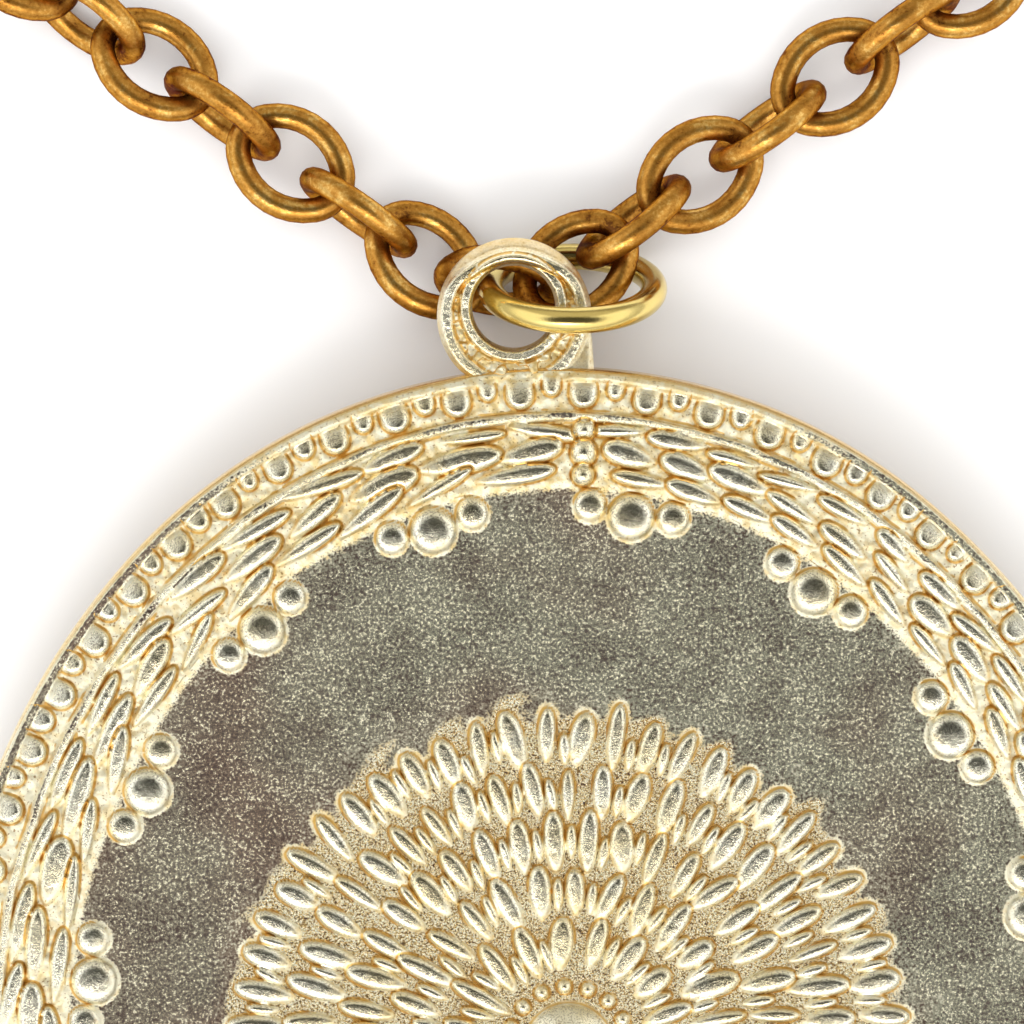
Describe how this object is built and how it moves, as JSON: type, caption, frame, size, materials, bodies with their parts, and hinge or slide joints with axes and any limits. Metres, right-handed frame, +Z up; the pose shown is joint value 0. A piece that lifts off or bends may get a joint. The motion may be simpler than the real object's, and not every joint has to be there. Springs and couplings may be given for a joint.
{
  "type": "medallion necklace",
  "caption": "Oval cast medallion with a beaded and leafy border, hung by a ring in its eyelet from a closed cable chain, lying flat.",
  "frame": {"origin": "bottom centre of the whole necklace's box, on the surface that it lies on", "axes": "+Z up, +Y from the medallion towards the clasp, +X to the right of the picture"},
  "size_m": [0.1904, 0.254, 0.0063],
  "materials": {
    "medallion": "pale gold plated casting, satin with dark tarnish on the field",
    "jump_ring": "polished",
    "chain_left": "antique, dark in the recesses",
    "chain_right": "antique, dark in the recesses",
    "clasp": "antique, dark in the recesses"
  },
  "bodies": {
    "root": {"medallion": "medallion", "jump_ring": "jump_ring", "chain_left": "chain_left", "chain_right": "chain_right", "clasp": "clasp"}
  },
  "joints": []
}
